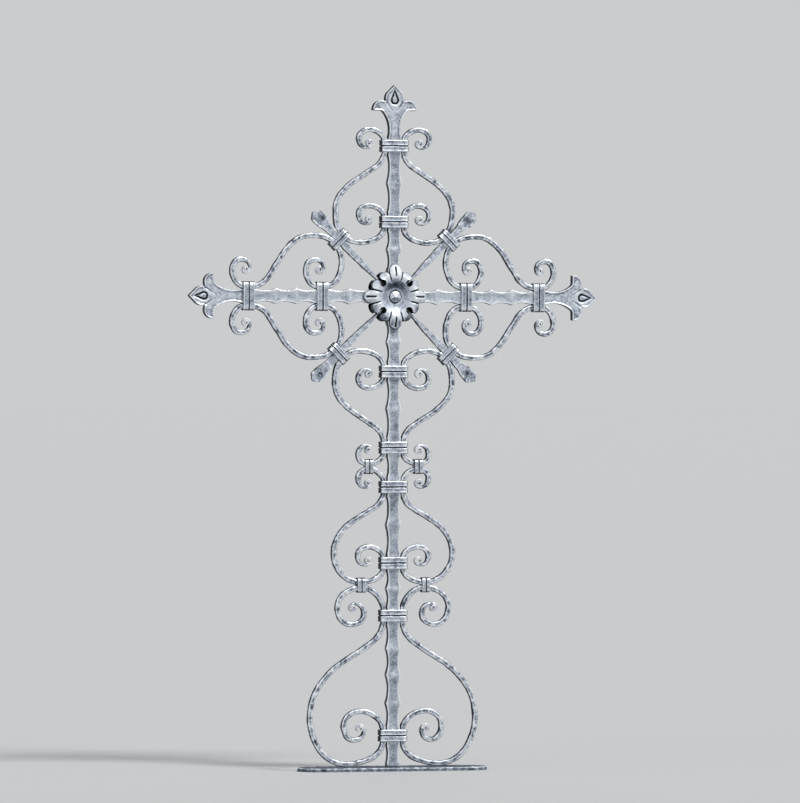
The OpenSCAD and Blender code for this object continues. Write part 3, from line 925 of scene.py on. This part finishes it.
def segmentDistance(p, a, b):
    a, b = np.array(a, float), np.array(b, float)
    t = np.clip(((p - a) @ (b - a)) / ((b - a) @ (b - a)), 0, 1)
    return np.linalg.norm(p - a - t[:, None] * (b - a), axis=1), t


def dropDistance(p, at, r, tip):
    # signed distance from the outline of a teardrop, negative inside
    bend = math.acos(r / tip)
    touch = np.array([at + r * math.cos(bend), r * math.sin(bend)])
    q = np.stack([p[:, 0], np.abs(p[:, 1])], 1)
    away, _ = segmentDistance(q, touch, (at + tip, 0))
    normal = heading(math.degrees(bend))
    inStraight = (q - touch) @ np.array([normal[1], -normal[0]]) > 0
    inside = (q - touch) @ normal < 0
    line = np.where(inside, -away, away)
    circle = np.linalg.norm(q - np.array([at, 0]), axis=1) - r
    return np.where(inStraight, line, circle)


def makeFinial(node, angle):
    look = finialLook
    obj = cadCopy(node, pieceName(node), look["voxel"], look["smoothing"])
    points, normals = getPoints(obj), getNormals(obj)
    c, s = math.cos(math.radians(angle)), math.sin(math.radians(angle))
    away = np.stack([points[:, 0], points[:, 2] - crossingZ], 1)
    u = away[:, 0] * c + away[:, 1] * s - cross["outer"]
    v = -away[:, 0] * s + away[:, 1] * c
    own = np.stack([u, v, points[:, 1]], 1)
    ownNormal = np.stack([normals[:, 0], normals[:, 2], normals[:, 1]], 1)
    distance = rimDistance(own, ownNormal, 2, [0, 1])
    facing = smoothStep(*look["facing"], np.abs(normals[:, 1]))
    sink = look["sink"] * smoothStep(*look["rim"], distance)
    flat = np.stack([u, v], 1)
    # the long folds between bud and leaves
    for side in (-1, 1):
        fold, t = segmentDistance(flat, *[(out, side * v) for out, v in look["fold"]])
        sink += look["foldDepth"] * np.exp(-(fold / look["foldWidth"]) ** 2) * (1 - 0.9 * t)
        # and a soft crease down each leaf
        crease, t = segmentDistance(flat, *[(out, side * v) for out, v in look["crease"]])
        sink += look["creaseDepth"] * np.exp(-(crease / look["creaseWidth"]) ** 2) * (1 - t)
    drop = dropDistance(flat, *look["drop"])
    sink += look["dropGroove"] * np.exp(-(drop / look["dropGrooveWidth"]) ** 2)
    sink -= look["dropRise"] * smoothStep(*look["dropRiseIn"], drop)
    points[:, 1] -= np.sign(points[:, 1]) * sink * facing
    setPoints(obj, points)
    hammer(obj, look["blow"], look["blowDepth"])
    finish(obj, [node], "ornament_iron", ornamentSteel, fine=0.6, broad=0.1, base=0.64, most=0.16,
           extra=-0.16 * smoothStep(0.5, -1.5, drop))


for node, angle in (("finial_top", 90), ("finial_left", 180), ("finial_right", 0)):
    makeFinial(node, angle)
print("finials stamped")


# rosette and rivet

rosetteLook = {
    "reach": 57, "petalWidth": 22.6, "lobe": 11.5, "lobeAt": 36.7, "lobeTurn": 30,
    "dish": 8.5, "sheet": 3.0, "flat": 11, "crest": 36, "tipDrop": 9.0, "lobeDrop": 6.2,
    "tipRun": 20, "lobeRun": 10, "web": 30.0, "petalEdge": (19, 15.5),
    "vein": 2.3, "veinWidth": 1.5, "veinStart": (33, 38), "veinStop": (55, 52),
    "groove": 2.2, "grooveWidth": 1.3, "grooveTurn": 17.2, "grooveStart": (24, 34),
    "edgeRoll": 1.0, "edgeRollIn": 1.6,
    "ring": 1.4, "ringAt": 10.6, "ringWidth": 0.9,       # sunk round the rivet
    "hole": 5.9, "holeAt": 33.5, "slot": 5, "slotLong": 30, "slotOut": 15,
    "cutDeep": 60, "cutAt": -15,                         # the cutters, through the front dish
    "seat": 3.5,                                         # height of its middle over the bars
    "blow": 8.0, "blowDepth": 0.3, "rings": 40, "around": 288,
}


def rosetteReach(turn):
    # how far the outline lies from the middle, for directions in degrees
    look = rosetteLook
    folded = np.abs((turn + 45) % 90 - 45)
    half = look["petalWidth"] / 2
    centre = look["reach"] - half
    c, s = np.cos(np.radians(folded)), np.sin(np.radians(folded))
    under = half ** 2 - (centre * s) ** 2
    cap = np.where(under > 0, centre * c + np.sqrt(np.maximum(under, 0)), 0)
    cap = np.where(cap * c >= centre, cap, 0)
    straight = np.where(half / np.maximum(s, 1e-6) * c <= centre, half / np.maximum(s, 1e-6), 0)
    off = np.radians(folded - look["lobeTurn"])
    under = look["lobe"] ** 2 - (look["lobeAt"] * np.sin(off)) ** 2
    lobe = np.where(under > 0, look["lobeAt"] * np.cos(off) + np.sqrt(np.maximum(under, 0)), 0)
    return np.maximum.reduce([cap, straight, lobe, np.full(len(turn), look["web"])])


def rosetteFront(r, turn, reach):
    # how far the front stands forward of the seat
    look = rosetteLook
    folded = np.abs((turn + 45) % 90 - 45)
    v = r * np.sin(np.radians(folded))
    rise = look["dish"] * smoothStep(look["flat"], look["crest"], r)
    isPetal = smoothStep(*look["petalEdge"], folded)
    past = np.maximum(r - look["crest"], 0)
    rise -= isPetal * look["tipDrop"] * (past / look["tipRun"]) ** 1.5
    rise -= (1 - isPetal) * look["lobeDrop"] * (past / look["lobeRun"]) ** 1.6
    # a vein down each long petal, and furrows where petals meet
    vein = np.exp(-(v / look["veinWidth"]) ** 2) * smoothStep(*look["veinStart"], r)
    vein = vein * smoothStep(*look["veinStop"], r)
    rise -= look["vein"] * vein
    rise += isPetal * smoothStep(30, 40, r) * (0.8 - 2.0 * (v / (look["petalWidth"] / 2)) ** 2)
    offLobe = r * np.sin(np.radians(np.abs(folded - look["lobeTurn"])))
    rise += (1 - isPetal) * smoothStep(28, 36, r) * (1.9 * (offLobe / 9) ** 2 - 0.9)
    furrow = r * np.sin(np.radians(folded - look["grooveTurn"]))
    groove = look["groove"] * np.exp(-(furrow / look["grooveWidth"]) ** 2)
    rise -= groove * smoothStep(*look["grooveStart"], r)
    rise -= look["ring"] * np.exp(-((r - look["ringAt"]) / look["ringWidth"]) ** 2)
    # edges rolled off
    rise -= look["edgeRoll"] * smoothStep(look["edgeRollIn"], 0, reach - r)
    return rise + look["seat"]


def spinProfile(name, profile, steps):
    # a closed profile of (radius, height) spun about the Y axis
    deselectAll()
    bpy.ops.mesh.primitive_plane_add(size=1)
    obj = bpy.context.object
    obj.name = obj.data.name = name
    bpy.ops.object.mode_set(mode="EDIT")
    bpy.ops.mesh.select_all(action="SELECT")
    bpy.ops.mesh.delete(type="VERT")
    mesh = bmesh.from_edit_mesh(obj.data)
    verts = [mesh.verts.new((r, -h, 0)) for r, h in profile]
    for a, b in zip(verts, verts[1:]):
        mesh.edges.new((a, b))
    bmesh.update_edit_mesh(obj.data)
    bpy.ops.mesh.select_all(action="SELECT")
    bpy.ops.mesh.spin(steps=steps, angle=math.tau, center=(0, 0, 0), axis=(0, 1, 0))
    bpy.ops.mesh.select_all(action="SELECT")
    bpy.ops.mesh.remove_doubles(threshold=1e-5)
    bpy.ops.mesh.normals_make_consistent(inside=False)
    bpy.ops.object.mode_set(mode="OBJECT")
    return obj


def makeRosette(name):
    look = rosetteLook
    ringShares = [i / look["rings"] for i in range(look["rings"] + 1)]
    profile = [(s, 1) for s in ringShares] + [(s, 0) for s in reversed(ringShares)]
    obj = spinProfile(name, profile, look["around"])
    raw = getPoints(obj) * mm
    share = np.hypot(raw[:, 0], raw[:, 2])
    turn = np.degrees(np.arctan2(raw[:, 2], raw[:, 0]))
    reach = rosetteReach(turn)
    r = share * reach
    front = rosetteFront(r, turn, reach)
    rise = np.where(raw[:, 1] < -0.5, front, front - look["sheet"])
    x, z = r * np.cos(np.radians(turn)), r * np.sin(np.radians(turn))
    setPoints(obj, np.stack([x, -cross["barDepth"] / 2 - rise, crossingZ + z], 1))
    outwards(obj)
    # keyholes on the diagonals, cut right through
    for angle in (45, 135, 225, 315):
        deselectAll()
        at = look["holeAt"] * heading(angle)
        bpy.ops.mesh.primitive_cylinder_add(
            vertices=40, radius=look["hole"] * mm, depth=look["cutDeep"] * mm,
            location=(at[0] * mm, look["cutAt"] * mm, (crossingZ + at[1]) * mm),
            rotation=(math.pi / 2, 0, 0))
        hole = bpy.context.object
        at = (look["holeAt"] + look["slotOut"]) * heading(angle)
        bpy.ops.mesh.primitive_cube_add(
            size=1, location=(at[0] * mm, look["cutAt"] * mm, (crossingZ + at[1]) * mm))
        slot = bpy.context.object
        slot.scale = (look["slotLong"] * mm, look["cutDeep"] * mm, look["slot"] * mm)
        slot.rotation_euler = (0, -math.radians(angle), 0)
        for tool in (hole, slot):
            makeActive(tool)
            bpy.ops.object.transform_apply(location=True, rotation=True, scale=True)
            applyModifier(obj, "BOOLEAN", operation="DIFFERENCE", object=tool, solver="EXACT")
            bpy.data.objects.remove(tool)
    hammer(obj, look["blow"], look["blowDepth"])
    return obj


rivetLook = {
    "radius": 9.7, "crown": 6.0, "skirt": 2.2, "steps": 72, "blow": 6.0, "blowDepth": 0.3,
    "facets": 5, "facetTurn": 18, "facetTop": 7.2, "facetFall": 0.5,
}


def makeRivet(name):
    look = rivetLook
    arc = [(look["radius"] * math.sin(math.radians(t)),
            look["skirt"] + look["crown"] * math.cos(math.radians(t))) for t in range(0, 91, 5)]
    profile = [(r * mm, h * mm) for r, h in arc + [(look["radius"], 0), (0, 0)]]
    obj = spinProfile(name, profile, look["steps"])
    points = getPoints(obj)
    # flats left by the riveting hammer
    for k in range(look["facets"]):
        way = heading(look["facetTurn"] + 360 * k / look["facets"])
        flat = look["facetTop"] - look["facetFall"] * (points[:, 0] * way[0] + points[:, 2] * way[1])
        points[:, 1] = np.maximum(points[:, 1], -np.maximum(flat, 0))
    points += (0, -cross["barDepth"] / 2 - rosetteLook["seat"], crossingZ)
    setPoints(obj, points)
    hammer(obj, look["blow"], look["blowDepth"])
    return obj


def turnedCopy(obj, name):
    # the same piece turned half round for the back
    made = copyOf(obj, name)
    setPoints(made, getPoints(obj) * (-1, -1, 1))
    return made


rosette, rivet = makeRosette("Rosette"), makeRivet("Rivet")
rosetteBack, rivetBack = turnedCopy(rosette, "RosetteBack"), turnedCopy(rivet, "RivetBack")
for piece, node, side in ((rosette, "rosette", 1), (rosetteBack, "rosette_back", -1)):
    # the side towards the bars is darkened: partly paint left unrubbed, partly painted shade so the
    # keyholes read black
    normals = getNormals(piece)
    inward = smoothStep(0, 0.4, normals[:, 1] * side)
    # and what faces down is darkened as painted shade
    finish(piece, [node], "ornament_iron", stampedSteel, angle=50, fine=0.9, broad=0.1,
           extra=-0.4 * inward - 0.26 * smoothStep(0.08, 0.5, -normals[:, 2]))
for piece, node in ((rivet, "rivet"), (rivetBack, "rivet_back")):
    # what faces down is darkened as painted shade
    finish(piece, [node], "ornament_iron", stampedSteel, angle=22, fine=0.9, broad=0.2, base=0.68,
           extra=-0.3 * smoothStep(0.1, 0.6, -getNormals(piece)[:, 2]))
print("rosette dished")


# base plate

plateLook = {
    "voxel": 1.2, "smoothing": 2, "underside": 0.8,
    "edgeBand": (7, 2),                      # distances from the edge where its own blows take over
    "lipBand": (3.6, 1.2), "lipTop": (4.2, 5.8),  # the same, and the heights, for the bright lip
    "edgeBlow": 9.0, "edgeDepth": 1.6, "topBlow": 16.0, "topDepth": 0.7,
}

plate = cadCopy("base_plate", "BasePlate", plateLook["voxel"], plateLook["smoothing"])
points, normals = getPoints(plate), getNormals(plate)
flatPlate = points.copy()
hammer(plate, plateLook["topBlow"], plateLook["topDepth"])
soft = getPoints(plate)
setPoints(plate, flatPlate)
hammer(plate, plateLook["edgeBlow"], plateLook["edgeDepth"])
struck = getPoints(plate)
distance = rimDistance(flatPlate, normals, 2, [0, 1])
nearEdge = smoothStep(*plateLook["edgeBand"], distance)[:, None]
points = soft * (1 - nearEdge) + struck * nearEdge
# the underside stays flat
under = flatPlate[:, 2] < plateLook["underside"]
points[:, 2] = np.where(under, np.clip(flatPlate[:, 2], 0, None), points[:, 2])
points[:, 2] = np.clip(points[:, 2], 0, cross["plate"])
setPoints(plate, points)
# the silver caught along the hammered lip
lip = (smoothStep(*plateLook["lipBand"], distance)
       * smoothStep(*plateLook["lipTop"], points[:, 2]))
finish(plate, ["base_plate"], "plate_iron", plateSteel, fine=0.25, broad=0.05, base=0.44,
       sides=0.06, extra=0.26 * lip)
print("plate hammered")


# floor, light and camera

view = {
    "yaw": -16, "distance": 12.0, "height": 0.65, "aimRight": 0.0117, "tilt": 0.02, "roll": 0.15,
    "lens": 308.4, "sensor": 36, "near": 0.1, "far": 1500,
}
studio = {
    "floor": "#bdbebf", "floorRadius": 600, "floorRough": 0.9,
    "surround": "#cacccd", "ambient": "#8c8e90",
}
# power and softness, then azimuth from the front towards the right, and elevation, in degrees
lamps = {"keyLamp": (2.65, 16, 35, 50), "fillLamp": (0.45, 40, -60, 35),
         "backLamp": (0.4, 40, 160, 40)}

deselectAll()
bpy.ops.mesh.primitive_circle_add(vertices=96, radius=studio["floorRadius"], fill_type="NGON")
floor = bpy.context.object
floor.name = "StudioFloor"
floorPaint = bpy.data.materials.new("studioFloorMattPaint")
floorPaint.use_nodes = True
floorShader = floorPaint.node_tree.nodes["Principled BSDF"]
floorShader.inputs["Base Color"].default_value = linear(studio["floor"])
floorShader.inputs["Roughness"].default_value = studio["floorRough"]
floor.data.materials.append(floorPaint)

world = bpy.data.worlds.new("studioSurround")
world.use_nodes = True
tree = world.node_tree
tree.nodes.clear()
# pale where it is seen or mirrored, dimmer as a light
path = addNode(tree, "ShaderNodeLightPath")
seen = addNode(tree, "ShaderNodeMath", {"operation": "MAXIMUM"},
               {0: path.outputs["Is Camera Ray"], 1: path.outputs["Is Glossy Ray"]})
seen = addNode(tree, "ShaderNodeMath", {"operation": "MAXIMUM"},
               {0: seen.outputs[0], 1: path.outputs["Is Transmission Ray"]})
tone = addNode(tree, "ShaderNodeMix", {"data_type": "RGBA"}, {"Factor": seen.outputs[0]})
tone.inputs["A"].default_value = linear(studio["ambient"])
tone.inputs["B"].default_value = linear(studio["surround"])
surround = addNode(tree, "ShaderNodeBackground", {}, {"Color": tone.outputs["Result"]})
addNode(tree, "ShaderNodeOutputWorld", {}, {"Surface": surround.outputs[0]})
scene.world = world


def addSun(name, power, softness, azimuth, elevation):
    # a broad lamp far off
    lamp = bpy.data.lights.new(name, "SUN")
    lamp.energy, lamp.angle = power, math.radians(softness)
    obj = bpy.data.objects.new(name, lamp)
    scene.collection.objects.link(obj)
    a, e = math.radians(azimuth), math.radians(elevation)
    obj.rotation_mode = "QUATERNION"
    obj.rotation_quaternion = Vector((math.sin(a) * math.cos(e), -math.cos(a) * math.cos(e),
                                      math.sin(e))).to_track_quat("Z", "Y")


for name, setting in lamps.items():
    addSun(name, *setting)

camera = bpy.data.cameras.new("camera")
camera.sensor_width, camera.sensor_fit, camera.lens = view["sensor"], "HORIZONTAL", view["lens"]
camera.clip_start, camera.clip_end = view["near"], view["far"]
cameraObject = bpy.data.objects.new("camera", camera)
scene.collection.objects.link(cameraObject)
yaw = math.radians(view["yaw"])
back = np.array([math.sin(yaw), -math.cos(yaw), 0])
right = np.array([math.cos(yaw), math.sin(yaw), 0])
cameraObject.location = (back * view["distance"] + right * view["aimRight"]
                         + np.array([0, 0, view["height"]]))
cameraObject.rotation_euler = (math.radians(90 - view["tilt"]), math.radians(-view["roll"]), yaw)
scene.camera = cameraObject
scene.view_settings.view_transform = "Standard"
print("stage set")
